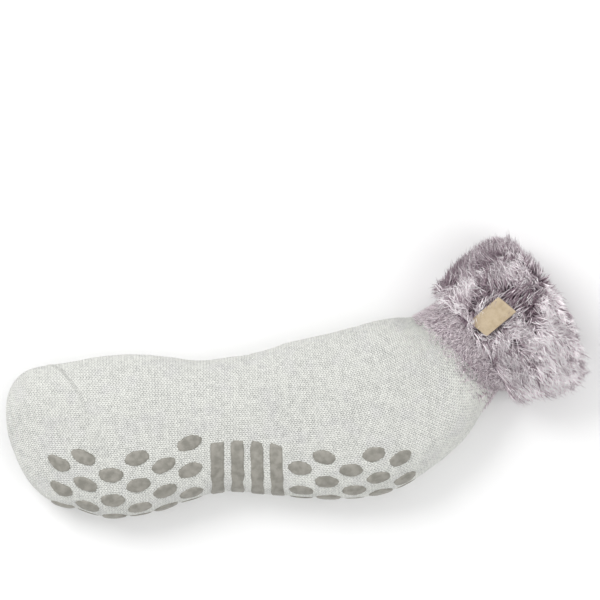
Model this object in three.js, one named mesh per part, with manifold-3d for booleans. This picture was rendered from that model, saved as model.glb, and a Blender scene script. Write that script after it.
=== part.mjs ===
// A knitted lounge sock with a turned-down plush cuff and silicone grips, lying empty on its right side.
// The foot is laid out along X from the toe, Y runs from the sole to the instep, and Z is height above the floor.
import * as THREE from "three";
import { mergeVertices } from "three/addons/utils/BufferGeometryUtils.js";
import Module from "manifold-3d";

const wasm = await Module();
wasm.setup();

// Driving sizes in millimetres and degrees
const foot_length = 235; // toe tip to heel turn
const foot_width = 72; // sole edge to instep edge at the arch, as the tube lies flat
const lying_height = 42; // floor to the top of the forefoot
const toe_round = 32.5; // length of the rounded toe end
const toe_rise = 6; // how far the toe tip stands to the instep side of its first section's middle
const leg_width = 58; // front to back of the leg where the plush begins
const leg_length = 53; // start of the plush to the mouth's fold
const leg_lean = 28; // the leg's axis above the foot's line
const knit_wall = 3;
const plush_wall = 3.4;
const fur_depth = 12; // body of the cuff's pile outside the leg
const lock_length = 9;
const lock_width = 10;
const lock_root = 0.3; // how deep a lock's root is sunk, as a share of its length
const lock_waist = 0.45; // where it starts to taper
const lock_taper = 0.84; // its width there, as a share of its root's width
const lock_depth = 0.7; // its depth, as a share of its width
const droop = 0.4; // how far a lock's tip hangs to the hem, as a share of its length
const mouth_bulge = 8; // how far the middle of the mouth stands beyond its two side folds
const lip_depth = 6; // pile on the inside of the mouth
const seat_gap = 0.3; // clearance between pieces that touch
const pad_length = 13.5;
const pad_width = 8.2;
const pad_height = 0.8;
const pad_pitch = 29; // along the sole
const pad_line_pitch = 7.6; // across the sole
const pad_first_line = 4.8; // from the sole's centre line
const bar_width = 7.5;
const bar_reach = 40; // from the sole's centre line to a bar's end
const bar_pitch = 11;
const bar_inset = 1.4; // a bar starts this far from the sole's centre line
const forefoot_pads_from = 54; // along the sole, from the toe tip
const bars_from = 141.3;
const heel_pads_from = 187.5;
const seam_width = 2.2;
const seam_height = 0.9;
const label_length = 17.5;
const label_width = 11.7;
const label_thickness = 0.8;
const label_gap = 0.6; // the label stands this far off the pile's body
const label_along = 0.455; // its middle, as a share of leg_length
const label_side = 8.5; // its middle lies this far to the front of the cuff's middle
const label_tilt = 14; // its long side is turned this far from the leg's axis to the front
const turn_on_floor = 10; // the foot's line is turned by this, so that toe and mouth lie along X

// Shape of a lying section
const edge_share = 0.42; // height of the folded edges, as a share of the section's height
const press_share = 0.14; // how far the round underside would reach below the floor, as a share of the height
const roundness = 0.88; // power of the section's curve; 1 is an ellipse
const toe_power = 2.2; // squareness of the toe end; 2 is round
const toe_skew = 0.5; // how much squarer it is at the instep edge, and rounder at the sole

// Fineness
const around_steps = 36;
const steps_per_row = 2.5;
const toe_steps = 8;
const inside_toe_steps = 5;
const tip_start = 0.4; // the ring next to the toe tip is this share of a step away from it
const pad_corners = 10;
const slope_step = 0.01; // for the slopes of the wall
const track_step = 0.05; // along the sole, in rows
const arc_step = 0.02; // round a section, in radians

// Sections of the foot, from the toe to the start of the plush. X is a share of foot_length, Y of foot_width,
// height of lying_height. Sole and instep are the two folded edges.
const foot_rows = [
  { name: "toe root", sole_x: 0.151, sole_y: 0.068, instep_x: 0.126, instep_y: 1.162, height: 0.95 },
  { name: "ball front", sole_x: 0.237, sole_y: 0.0, instep_x: 0.214, instep_y: 1.215, height: 1.0 },
  { name: "ball", sole_x: 0.337, sole_y: 0.046, instep_x: 0.319, instep_y: 1.238, height: 1.0 },
  { name: "ball back", sole_x: 0.423, sole_y: 0.137, instep_x: 0.412, instep_y: 1.192, height: 0.97 },
  { name: "arch", sole_x: 0.505, sole_y: 0.197, instep_x: 0.505, instep_y: 1.2, height: 0.95 },
  { name: "arch back", sole_x: 0.591, sole_y: 0.182, instep_x: 0.581, instep_y: 1.253, height: 0.97 },
  { name: "heel front", sole_x: 0.684, sole_y: 0.159, instep_x: 0.656, instep_y: 1.336, height: 1.03 },
  { name: "heel", sole_x: 0.784, sole_y: 0.152, instep_x: 0.73, instep_y: 1.386, height: 1.09 },
  { name: "heel low", sole_x: 0.872, sole_y: 0.19, instep_x: 0.795, instep_y: 1.435, height: 1.12 },
  { name: "heel turn", sole_x: 0.947, sole_y: 0.289, instep_x: 0.856, instep_y: 1.484, height: 1.1 },
  { name: "heel top", sole_x: 1.016, sole_y: 0.456, instep_x: 0.902, instep_y: 1.503, height: 1.04 },
  { name: "above heel", sole_x: 1.077, sole_y: 0.661, instep_x: 0.935, instep_y: 1.507, height: 0.98 },
];

// Sections of the leg above the foot rows. Along is a share of leg_length from the start of the plush, width of
// leg_width, height of lying_height, lift of fur_depth. Lean is the section's own, added to leg_lean.
const leg_rows = [
  { name: "plush start", along: 0.0, width: 1.0, height: 0.93, lift: 0.12, lean: 18 },
  { name: "hem", along: 0.23, width: 1.0, height: 0.88, lift: 0.35, lean: 7 },
  { name: "cuff middle", along: 0.6, width: 1.12, height: 0.84, lift: 0.62, lean: 4 },
  { name: "fold", along: 1.0, width: 1.27, height: 0.84, lift: 0.7, lean: 2.5 },
  { name: "beyond", along: 1.4, width: 1.36, height: 0.84, lift: 0.7, lean: 2.5 },
];
const leg_start = { x: 1.043, y: 1.242 }; // centre of the plush start, in shares as in the foot rows

// The cuff's closed profile: along as a share of leg_length, out as a share of fur_depth from the leg's outside
const hem_along = 0.23;
const band_top = 0.92;
const lip_along = 0.7; // where the pile on the inside of the mouth ends
const lip_middle = 0.81;
const band_start = 0.01; // leaves a small gap to the knit
const band_stations = [band_start, hem_along, 0.46, lip_along, lip_middle, band_top];
const cuff_profile = [
  { along: hem_along - 0.02, out: 0.28 },
  { along: hem_along + 0.04, out: 0.58 },
  { along: hem_along + 0.16, out: 0.86 },
  { along: 0.56, out: 0.98 },
  { along: 0.78, out: 1.0 },
  { along: 0.93, out: 0.88 },
  { along: 1.03, out: 0.54 },
  { along: 1.07, out: 0.04 },
];
// The pile on the inside of the mouth: deep is a share of lip_depth
const lip_profile = [
  { along: 1.02, deep: 0.62 },
  { along: 0.9, deep: 1.0 },
  { along: lip_middle, deep: 0.85 },
  { along: lip_along, deep: 0 },
];

const radians = THREE.MathUtils.degToRad;

function legRow(row) {
  const axis = radians(leg_lean);
  const normal = radians(leg_lean + row.lean);
  const half = (row.width * leg_width) / 2;
  const centre = new THREE.Vector2(leg_start.x * foot_length, leg_start.y * foot_width);
  centre.x += Math.cos(axis) * row.along * leg_length;
  centre.y += Math.sin(axis) * row.along * leg_length;
  const toward_back = new THREE.Vector2(Math.sin(normal), -Math.cos(normal));
  return {
    sole: centre.clone().addScaledVector(toward_back, half),
    instep: centre.clone().addScaledVector(toward_back, -half),
    height: row.height * lying_height,
    lift: row.lift * fur_depth,
    bulge: row.along * mouth_bulge,
  };
}

function footRow(row) {
  return {
    sole: new THREE.Vector2(row.sole_x * foot_length, row.sole_y * foot_width),
    instep: new THREE.Vector2(row.instep_x * foot_length, row.instep_y * foot_width),
    height: row.height * lying_height,
    lift: 0,
    bulge: 0,
  };
}

const rows = [...foot_rows.map(footRow), ...leg_rows.map(legRow)];
const plush_row = foot_rows.length; // row number of the plush start

// A smooth value between the rows
function between(read, s) {
  const last = rows.length - 1;
  const i = Math.min(Math.max(Math.floor(s), 0), last - 1);
  const t = s - i;
  const [a, b, c, d] = [i - 1, i, i + 1, i + 2].map((k) => read(rows[Math.min(Math.max(k, 0), last)]));
  const slope_b = (c - a) / 2;
  const slope_c = (d - b) / 2;
  const t2 = t * t;
  const t3 = t2 * t;
  return b * (2 * t3 - 3 * t2 + 1) + slope_b * (t3 - 2 * t2 + t) + c * (3 * t2 - 2 * t3) + slope_c * (t3 - t2);
}

function sectionAt(s) {
  const sole = new THREE.Vector2(between((r) => r.sole.x, s), between((r) => r.sole.y, s));
  const instep = new THREE.Vector2(between((r) => r.instep.x, s), between((r) => r.instep.y, s));
  const across = instep.clone().sub(sole);
  const half = across.length() / 2;
  across.normalize();
  return {
    centre: sole.clone().add(instep).multiplyScalar(0.5),
    across,
    along: new THREE.Vector2(across.y, -across.x),
    half,
    height: between((r) => r.height, s),
    lift: between((r) => r.lift, s),
    bulge: between((r) => r.bulge, s),
  };
}

// Row number of a place on the leg, from its share of leg_length
function legNumber(along) {
  const next = leg_rows.findIndex((r) => r.along >= along);
  const k = Math.max(next < 0 ? leg_rows.length - 1 : next, 1);
  const low = leg_rows[k - 1].along;
  return plush_row + k - 1 + (along - low) / (leg_rows[k].along - low);
}

// A point of the sock's wall: s is the row number, angle runs round the section from the instep edge over the top,
// and out is the distance outside the knit. Below zero, s runs over the rounded toe end.
function wallPoint(s, angle, out = 0) {
  const at = sectionAt(Math.max(s, 0));
  const sine = Math.sin(angle);
  const cosine = Math.cos(angle);
  const edge = edge_share * at.height;
  const across = Math.sign(cosine) * Math.abs(cosine) ** roundness;
  const rise = Math.abs(sine) ** roundness;
  const floor = Math.max(0, at.lift - out);
  const middle = at.lift + edge;
  let height = middle + (at.height - edge + out) * rise;
  if (sine < 0) height = Math.max(floor, middle - (edge + press_share * at.height + out) * rise);
  const wide = at.half + out;
  const bulge = at.bulge * (1 - across * across);
  const flat = at.centre.clone().addScaledVector(at.across, across * wide).addScaledVector(at.along, bulge);
  if (s >= 0) return new THREE.Vector3(flat.x, flat.y, height);
  // The toe end shrinks on a rounded curve towards its tip, squarer on the instep side
  const reach = Math.min(-s, 1);
  const power = toe_power + toe_skew * across;
  const shrink = (1 - reach ** power) ** (1 / power);
  const tip = at.centre.clone().addScaledVector(at.along, -(toe_round + out) * reach);
  tip.addScaledVector(at.across, toe_rise * reach * reach);
  return new THREE.Vector3(
    tip.x + at.across.x * across * wide * shrink,
    tip.y + at.across.y * across * wide * shrink,
    middle + (height - middle) * shrink,
  );
}

function wallNormal(s, angle, out = 0) {
  const step = slope_step;
  const along = wallPoint(s + step, angle, out).sub(wallPoint(s - step, angle, out));
  const around = wallPoint(s, angle + step, out).sub(wallPoint(s, angle - step, out));
  return around.cross(along).normalize();
}

// Closed meshes from a grid of points
function meshOf(points, faces) {
  const geometry = new THREE.BufferGeometry();
  geometry.setAttribute("position", new THREE.Float32BufferAttribute(points.flatMap((p) => [p.x, p.y, p.z]), 3));
  geometry.setIndex(faces.flat());
  geometry.computeVertexNormals();
  return geometry;
}

// Rings joined one after the other; the ends are closed by a middle point, or the last ring is joined to the first
function loft(rings, closing) {
  const count = rings[0].length;
  const points = rings.flat();
  const faces = [];
  const joined = closing === "loop" ? rings.length : rings.length - 1;
  for (let i = 0; i < joined; i++) {
    for (let j = 0; j < count; j++) {
      const a = i * count + j;
      const b = i * count + ((j + 1) % count);
      const next = (i + 1) % rings.length;
      const c = next * count + ((j + 1) % count);
      const d = next * count + j;
      faces.push([a, b, c], [a, c, d]);
    }
  }
  if (closing !== "loop") {
    for (const [ring, flip] of [[0, true], [rings.length - 1, false]]) {
      const centre = new THREE.Vector3();
      rings[ring].forEach((p) => centre.addScaledVector(p, 1 / count));
      points.push(centre);
      const middle = points.length - 1;
      for (let j = 0; j < count; j++) {
        const a = ring * count + j;
        const b = ring * count + ((j + 1) % count);
        faces.push(flip ? [b, a, middle] : [a, b, middle]);
      }
    }
  }
  return meshOf(points, faces);
}

function ring(s, out, count) {
  const points = [];
  for (let j = 0; j < count; j++) points.push(wallPoint(s, (-j / count) * Math.PI * 2, out));
  return points;
}

// Material of each piece
const finish = {
  knit: new THREE.MeshStandardMaterial({ color: 0xd7d9d4, roughness: 0.95, metalness: 0 }),
  seam: new THREE.MeshStandardMaterial({ color: 0xcfd1cb, roughness: 0.95, metalness: 0 }),
  plush: new THREE.MeshStandardMaterial({ color: 0xb9adb4, roughness: 0.9, metalness: 0 }),
  fur: new THREE.MeshStandardMaterial({ color: 0xa89ba4, roughness: 0.8, metalness: 0 }),
  label: new THREE.MeshStandardMaterial({ color: 0xc3af91, roughness: 0.85, metalness: 0 }),
  grip: new THREE.MeshStandardMaterial({ color: 0x8c8a82, roughness: 0.5, metalness: 0 }),
};

const sock = new THREE.Group();

function place(name, geometry, material) {
  const mesh = new THREE.Mesh(geometry, material);
  mesh.name = name;
  sock.add(mesh);
}

// Places of the rings on the toe end, closer together at its tip
function toeReach(k, steps) {
  return Math.cos(((k + tip_start) / (steps + tip_start)) * Math.PI * 0.5);
}

// Knit body: the outside from the toe tip to the plush, then the inside back to the toe
const knit_end = plush_row - 0.01;
function knitBody() {
  const end = knit_end;
  const rings = [];
  for (let k = 0; k < toe_steps; k++) rings.push(ring(-toeReach(k, toe_steps), 0, around_steps));
  const outer_steps = Math.round(end * steps_per_row);
  for (let k = 0; k <= outer_steps; k++) rings.push(ring((end * k) / outer_steps, 0, around_steps));
  const inner_steps = Math.round(end);
  for (let k = inner_steps; k >= 0; k--) rings.push(ring((end * k) / inner_steps, -knit_wall, around_steps));
  for (let k = inside_toe_steps - 1; k >= 0; k--) {
    rings.push(ring(-toeReach(k, inside_toe_steps), -knit_wall, around_steps));
  }
  return loft(rings, "ends");
}

// Plush band: the leg's wall from the end of the knit up to the mouth, inside the cuff
function plushBand() {
  const rings = band_stations.map((along) => ring(legNumber(along), 0, around_steps));
  for (const along of [...band_stations].reverse()) rings.push(ring(legNumber(along), -plush_wall, around_steps));
  return loft(rings, "loop");
}

// Distance from the sole's edge round a section, over the top where positive, as an angle
function angleFromSole(s, distance) {
  const side = distance < 0 ? 1 : -1;
  const step = arc_step;
  let angle = Math.PI;
  let left = Math.abs(distance);
  let last = wallPoint(s, angle);
  while (left > 0) {
    angle += side * step;
    const next = wallPoint(s, angle);
    const length = next.distanceTo(last);
    if (length >= left) return angle - side * step * (1 - left / length);
    left -= length;
    last = next;
  }
  return angle;
}

// Row number of a place along the sole, from its distance to the toe tip
const sole_track = [];
for (let s = -1, run = 0, last = null; s <= plush_row; s += track_step) {
  const here = wallPoint(s, Math.PI);
  if (last) run += here.distanceTo(last);
  last = here;
  sole_track.push({ s, run });
}
function soleNumber(distance) {
  const next = sole_track.findIndex((p) => p.run >= distance);
  if (next < 1) return -1;
  const [low, high] = [sole_track[next - 1], sole_track[next]];
  return low.s + ((high.s - low.s) * (distance - low.run)) / (high.run - low.run);
}

// A thin piece that lies on the wall: a grid of places, each given a point on a lower and an upper sheet
function sheetOn(place_at, columns, lines, low, high) {
  const points = [];
  for (const out of [low, high]) {
    for (let i = 0; i <= columns; i++) {
      for (let j = 0; j <= lines; j++) {
        const { point, normal } = place_at(i / columns, j / lines);
        points.push(point.clone().addScaledVector(normal, out));
      }
    }
  }
  const number = (sheet, i, j) => sheet * (columns + 1) * (lines + 1) + i * (lines + 1) + j;
  const faces = [];
  const quad = (a, b, c, d) => faces.push([a, b, c], [a, c, d]);
  for (let i = 0; i < columns; i++) {
    for (let j = 0; j < lines; j++) {
      quad(number(1, i, j), number(1, i + 1, j), number(1, i + 1, j + 1), number(1, i, j + 1));
      quad(number(0, i, j), number(0, i, j + 1), number(0, i + 1, j + 1), number(0, i + 1, j));
    }
  }
  for (let i = 0; i < columns; i++) {
    quad(number(0, i, 0), number(0, i + 1, 0), number(1, i + 1, 0), number(1, i, 0));
    quad(number(0, i + 1, lines), number(0, i, lines), number(1, i, lines), number(1, i + 1, lines));
  }
  for (let j = 0; j < lines; j++) {
    quad(number(0, 0, j + 1), number(0, 0, j), number(1, 0, j), number(1, 0, j + 1));
    quad(number(0, columns, j), number(0, columns, j + 1), number(1, columns, j + 1), number(1, columns, j));
  }
  return facingOut(meshOf(points, faces));
}

// Turns a closed mesh's faces over where they point in
function facingOut(geometry) {
  const p = geometry.getAttribute("position");
  const index = geometry.getIndex();
  const corner = (k) => new THREE.Vector3().fromBufferAttribute(p, index.getX(k));
  let volume = 0;
  for (let k = 0; k < index.count; k += 3) volume += corner(k).dot(corner(k + 1).cross(corner(k + 2)));
  if (volume < 0) {
    for (let k = 0; k < index.count; k += 3) {
      const second = index.getX(k + 1);
      index.setX(k + 1, index.getX(k + 2));
      index.setX(k + 2, second);
    }
    geometry.computeVertexNormals();
  }
  return geometry;
}

// Fur cuff: the turned-down band, a closed profile carried round the leg, with locks fused on
function cuffPoint(along, angle) {
  return wallPoint(legNumber(along), angle, profileOut(along));
}

function outsidePlace(along, angle) {
  const step = slope_step;
  const point = cuffPoint(along, angle);
  const up = cuffPoint(along + step, angle).sub(point);
  const round = cuffPoint(along, angle + step).sub(point);
  return { point, normal: round.cross(up).normalize() };
}

function cuffBand() {
  const lining = plush_wall + seat_gap;
  const profile = cuff_profile.map((p) => ({ along: p.along, out: p.out * fur_depth }));
  for (const { along, deep } of lip_profile) profile.push({ along, out: -lining - lip_depth * deep });
  profile.push({ along: lip_middle, out: -lining });
  const over = band_top + seat_gap / leg_length;
  profile.push({ along: over, out: -lining });
  profile.push({ along: over, out: seat_gap });
  for (const along of [...band_stations].reverse()) {
    if (along >= hem_along && along < band_top) profile.push({ along, out: seat_gap });
  }
  const rings = profile.map((p) => ring(legNumber(p.along), p.out, around_steps));
  return facingOut(loft(rings, "loop"));
}

// A lock of pile: a bent four-sided spike whose root is sunk in the band
function lock(root, direction, to_hem) {
  const side = to_hem.clone().cross(direction).normalize();
  const up = direction.clone().cross(side).normalize();
  const points = [];
  const middleAt = (reach) =>
    root
      .clone()
      .addScaledVector(direction, reach * lock_length)
      .addScaledVector(to_hem, Math.max(reach, 0) ** 2 * lock_length * droop);
  for (const [reach, share] of [[-lock_root, 1], [lock_waist, lock_taper]]) {
    const middle = middleAt(reach);
    const wide = (share * lock_width) / 2;
    points.push(middle.clone().addScaledVector(side, wide));
    points.push(middle.clone().addScaledVector(up, wide * lock_depth));
    points.push(middle.clone().addScaledVector(side, -wide));
    points.push(middle.clone().addScaledVector(up, -wide * lock_depth));
  }
  points.push(middleAt(1));
  const faces = [[0, 2, 1], [0, 3, 2]];
  for (let k = 0; k < 4; k++) {
    const next = (k + 1) % 4;
    faces.push([k, next, 4 + next], [k, 4 + next, 4 + k], [4 + k, 4 + next, 8]);
  }
  return facingOut(meshOf(points, faces));
}

function solidOf(geometry) {
  const bare = geometry.clone();
  bare.deleteAttribute("normal");
  const merged = mergeVertices(bare, 1e-4);
  return new wasm.Manifold(
    new wasm.Mesh({
      numProp: 3,
      vertProperties: new Float32Array(merged.getAttribute("position").array),
      triVerts: new Uint32Array(merged.getIndex().array),
    }),
  );
}

function geometryOf(solid) {
  const mesh = solid.getMesh();
  const geometry = new THREE.BufferGeometry();
  geometry.setAttribute("position", new THREE.Float32BufferAttribute(mesh.vertProperties, 3));
  geometry.setIndex(new THREE.Uint32BufferAttribute(mesh.triVerts, 1));
  geometry.computeVertexNormals();
  return geometry;
}

// An even spread between -1 and 1 that is the same each time
function scatter(number) {
  const wave = Math.sin(number * 12.9898) * 43758.5453;
  return 2 * (wave - Math.floor(wave)) - 1;
}

// The label's place on the cuff, from its hem end to its far end and from its back side to its front side
function labelPlace(u, v) {
  const tilt = radians(label_tilt);
  const long = (u - 0.5) * label_length;
  const short = (v - 0.5) * label_width;
  const along = label_along + (long * Math.cos(tilt) - short * Math.sin(tilt)) / leg_length;
  const half = sectionAt(legNumber(along)).half + profileOut(along);
  const share = (label_side + long * Math.sin(tilt) + short * Math.cos(tilt)) / half;
  return outsidePlace(along, Math.acos(Math.sign(share) * Math.abs(share) ** (1 / roundness)));
}

// How far the cuff's outside stands from the leg
function profileOut(along) {
  const next = Math.max(cuff_profile.findIndex((p) => p.along >= along), 1);
  const [low, high] = [cuff_profile[next - 1], cuff_profile[next]];
  return (low.out + ((high.out - low.out) * (along - low.along)) / (high.along - low.along)) * fur_depth;
}

const lock_clear = 0.75; // locks start no lower than this share of their width, clear of the floor
const label_room = 0.62; // they keep this share of their width from the label
const lock_rows = [
  { along: 0.34, count: 17, back: 0.9 },
  { along: 0.49, count: 17, back: 0.6 },
  { along: 0.64, count: 18, back: 0.4 },
  { along: 0.79, count: 18, back: 0.15 },
  { along: 0.93, count: 18, back: -0.3 },
  { along: 1.03, count: 14, back: -0.9 },
];

function furCuff() {
  let solid = solidOf(cuffBand());
  lock_rows.forEach((row, line) => {
    for (let k = 0; k < row.count; k++) {
      const seed = line * 40 + k;
      const angle = ((k + (line % 2) / 2 + 0.15 * scatter(seed)) / row.count) * Math.PI * 2;
      const { point, normal } = outsidePlace(row.along, angle);
      const at = sectionAt(legNumber(row.along));
      const to_hem = new THREE.Vector3(-at.along.x, -at.along.y, 0);
      const direction = normal.clone().addScaledVector(to_hem, row.back + 0.2 * scatter(seed + 0.5)).normalize();
      const tip = point.clone().addScaledVector(direction, lock_length).addScaledVector(to_hem, lock_length * droop);
      const waist = point.clone().lerp(tip, 0.5);
      if (Math.min(tip.z, point.z) < lock_width * lock_clear) continue;
      if ([point, waist, tip].some(nearLabel)) continue;
      solid = solid.add(solidOf(lock(point, direction, to_hem)));
    }
  });
  return geometryOf(solid);
}

function nearLabel(point) {
  const keep = label_width / 2 + lock_width * label_room;
  return [0.1, 0.5, 0.9].some((u) => labelPlace(u, 0.5).point.distanceTo(point) < keep);
}

// Toe seam: a raised line of linking from the top of the toe, over the instep edge and down the other side
const seam_front = 25; // its distance from the toe tip at the instep edge, and then on the side
const seam_back = 47;
const seam_bend = 1.35; // above 1 the seam leaves the instep edge more squarely
const seam_first = Math.PI * 0.5; // angles of its ends
const seam_last = -Math.PI * 0.19;
const seam_steps = 18;
function sectionNumber(distance) {
  const first = toe_round;
  const second = first + (foot_rows[1].instep_x - foot_rows[0].instep_x) * foot_length;
  return distance < first ? distance / first - 1 : (distance - first) / (second - first);
}

function toeSeam() {
  const place_at = (u, v) => {
    const angle = seam_first + (seam_last - seam_first) * u;
    const back = seam_front + (seam_back - seam_front) * Math.abs(Math.sin(angle)) ** seam_bend;
    const s = sectionNumber(back + (v - 0.5) * seam_width);
    return { point: wallPoint(s, angle), normal: wallNormal(s, angle) };
  };
  return sheetOn(place_at, seam_steps, 2, seat_gap, seat_gap + seam_height);
}

// Grips: oval pads in a brick layout at the forefoot and the heel, and bars across the arch
function padPlace(distance, across) {
  const s = soleNumber(distance);
  const angle = angleFromSole(s, across);
  return { point: wallPoint(s, angle), normal: wallNormal(s, angle) };
}

function gripPad(distance, across) {
  const corners = pad_corners;
  const points = [];
  for (const out of [seat_gap, seat_gap + pad_height]) {
    for (let k = 0; k < corners; k++) {
      const turn = (k / corners) * Math.PI * 2;
      const along = (Math.cos(turn) * pad_length) / 2;
      const { point, normal } = padPlace(distance + along, across + (Math.sin(turn) * pad_width) / 2);
      points.push(point.addScaledVector(normal, out));
    }
    const { point, normal } = padPlace(distance, across);
    points.push(point.addScaledVector(normal, out));
  }
  const faces = [];
  const upper = corners + 1;
  for (let k = 0; k < corners; k++) {
    const next = (k + 1) % corners;
    faces.push([next, k, corners], [upper + k, upper + next, upper + corners]);
    faces.push([k, next, upper + next], [k, upper + next, upper + k]);
  }
  return facingOut(meshOf(points, faces));
}

function gripBar(distance) {
  const across = (u) => bar_inset + (bar_reach - bar_inset) * u;
  const place_at = (u, v) => padPlace(distance + (v - 0.5) * bar_width, across(u));
  return sheetOn(place_at, 8, 2, seat_gap, seat_gap + pad_height);
}

place("knit_body", facingOut(knitBody()), finish.knit);
place("toe_seam", toeSeam(), finish.seam);
place("plush_band", facingOut(plushBand()), finish.plush);
place("fur_cuff", furCuff(), finish.fur);
place("label", sheetOn(labelPlace, 9, 4, label_gap, label_gap + label_thickness), finish.label);

// Even lines start at even_from and odd lines at odd_from, half a pitch from it
const half_pitch = pad_pitch / 2;
const forefoot = { name: "forefoot", lines: 6, even_from: forefoot_pads_from, even_columns: 3, odd_columns: 3 };
forefoot.odd_from = forefoot_pads_from + half_pitch;
const heel = { name: "heel", lines: 5, odd_from: heel_pads_from, even_columns: 2, odd_columns: 3 };
heel.even_from = heel_pads_from + half_pitch;
const under_lines = 3; // lines on the side that lies down, as far as the sole curls clear of the floor
for (const field of [forefoot, heel]) {
  for (let line = -under_lines; line < field.lines; line++) {
    const across = line < 0 ? (line + 1) * pad_line_pitch - pad_first_line : line * pad_line_pitch + pad_first_line;
    const from = line % 2 ? field.odd_from : field.even_from;
    const columns = line % 2 ? field.odd_columns : field.even_columns;
    for (let column = 0; column < columns; column++) {
      const name = `grip_${field.name}_${line < 0 ? "under" : "side"}_${Math.abs(line)}_${column + 1}`;
      const pad = gripPad(from + column * pad_pitch, across);
      pad.computeBoundingBox();
      if (pad.boundingBox.min.z > 0) place(name, pad, finish.grip);
    }
  }
}
const bar_count = 4;
for (let k = 0; k < bar_count; k++) place(`grip_bar_${k + 1}`, gripBar(bars_from + k * bar_pitch), finish.grip);

// The sock is turned on the floor, and its origin is the middle of its footprint
sock.rotation.z = -radians(turn_on_floor);
sock.updateMatrixWorld(true);
const box = new THREE.Box3().setFromObject(sock, true);
const centre = box.getCenter(new THREE.Vector3());
sock.position.set(-centre.x, -centre.y, 0);

export default sock;
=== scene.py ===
# A knitted lounge sock with a turned-down plush cuff, lying empty on its right side on a pale floor.
import math
import bpy
import numpy as np
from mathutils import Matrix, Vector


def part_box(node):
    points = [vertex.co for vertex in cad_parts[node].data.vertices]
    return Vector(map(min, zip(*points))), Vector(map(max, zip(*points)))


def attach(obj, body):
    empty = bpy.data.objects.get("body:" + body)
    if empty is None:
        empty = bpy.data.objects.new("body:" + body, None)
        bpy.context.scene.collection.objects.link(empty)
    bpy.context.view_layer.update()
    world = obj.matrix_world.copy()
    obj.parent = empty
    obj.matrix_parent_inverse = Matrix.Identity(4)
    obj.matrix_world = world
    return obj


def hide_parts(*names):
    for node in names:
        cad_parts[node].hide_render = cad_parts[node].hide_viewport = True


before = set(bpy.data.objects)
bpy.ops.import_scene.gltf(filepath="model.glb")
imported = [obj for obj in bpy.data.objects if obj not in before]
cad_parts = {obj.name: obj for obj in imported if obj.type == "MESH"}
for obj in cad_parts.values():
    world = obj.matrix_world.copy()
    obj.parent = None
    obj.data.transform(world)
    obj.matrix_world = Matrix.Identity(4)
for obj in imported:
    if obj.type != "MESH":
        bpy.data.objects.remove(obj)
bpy.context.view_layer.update()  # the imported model: frame["bodies"], frame["nodes"], frame["record"]

# Sizes of the sock in millimetres and degrees, as its construction has them
FOOT_LENGTH = 235
FOOT_WIDTH = 72
LYING_HEIGHT = 42
TOE_ROUND = 32.5
TOE_RISE = 6
LEG_WIDTH = 58
LEG_LENGTH = 53
LEG_LEAN = 28
KNIT_WALL = 3
PLUSH_WALL = 3.4
FUR_DEPTH = 12
MOUTH_BULGE = 8
PAD_LENGTH = 13.5
PAD_WIDTH = 8.2
PAD_HEIGHT = 0.9
PAD_PITCH = 29
PAD_LINE_PITCH = 7.6
PAD_FIRST_LINE = 4.8
FOREFOOT_PADS_FROM = 54
HEEL_PADS_FROM = 187.5
BAR_WIDTH = 7.5
BAR_REACH = 40
BAR_PITCH = 11
BAR_INSET = 1.4
BARS_FROM = 141.3
BAR_COUNT = 4
LABEL_LENGTH = 17.5
LABEL_WIDTH = 11.7
LABEL_ALONG = 0.455
LABEL_SIDE = 8.5
LABEL_TILT = math.radians(14)
TURN = math.radians(10)
EDGE_SHARE = 0.42
PRESS_SHARE = 0.14
ROUNDNESS = 0.88
TOE_POWER = 2.2
TOE_SKEW = 0.5
HEM_ALONG = 0.23

# Sections of the foot: the folded edges, as shares of the foot's length and width, and the height
FOOT_ROWS = [
    {"sole": (0.151, 0.068), "instep": (0.126, 1.162), "height": 0.95},
    {"sole": (0.237, 0.0), "instep": (0.214, 1.215), "height": 1.0},
    {"sole": (0.337, 0.046), "instep": (0.319, 1.238), "height": 1.0},
    {"sole": (0.423, 0.137), "instep": (0.412, 1.192), "height": 0.97},
    {"sole": (0.505, 0.197), "instep": (0.505, 1.2), "height": 0.95},
    {"sole": (0.591, 0.182), "instep": (0.581, 1.253), "height": 0.97},
    {"sole": (0.684, 0.159), "instep": (0.656, 1.336), "height": 1.03},
    {"sole": (0.784, 0.152), "instep": (0.73, 1.386), "height": 1.09},
    {"sole": (0.872, 0.19), "instep": (0.795, 1.435), "height": 1.12},
    {"sole": (0.947, 0.289), "instep": (0.856, 1.484), "height": 1.1},
    {"sole": (1.016, 0.456), "instep": (0.902, 1.503), "height": 1.04},
    {"sole": (1.077, 0.661), "instep": (0.935, 1.507), "height": 0.98},
]
LEG_ROWS = [
    {"along": 0.0, "width": 1.0, "height": 0.93, "lift": 0.12, "lean": 18},
    {"along": 0.23, "width": 1.0, "height": 0.88, "lift": 0.35, "lean": 7},
    {"along": 0.6, "width": 1.12, "height": 0.84, "lift": 0.62, "lean": 4},
    {"along": 1.0, "width": 1.27, "height": 0.84, "lift": 0.7, "lean": 2.5},
    {"along": 1.4, "width": 1.36, "height": 0.84, "lift": 0.7, "lean": 2.5},
]
LEG_START = (1.043, 1.242)
PLUSH_ROW = len(FOOT_ROWS)


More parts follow.
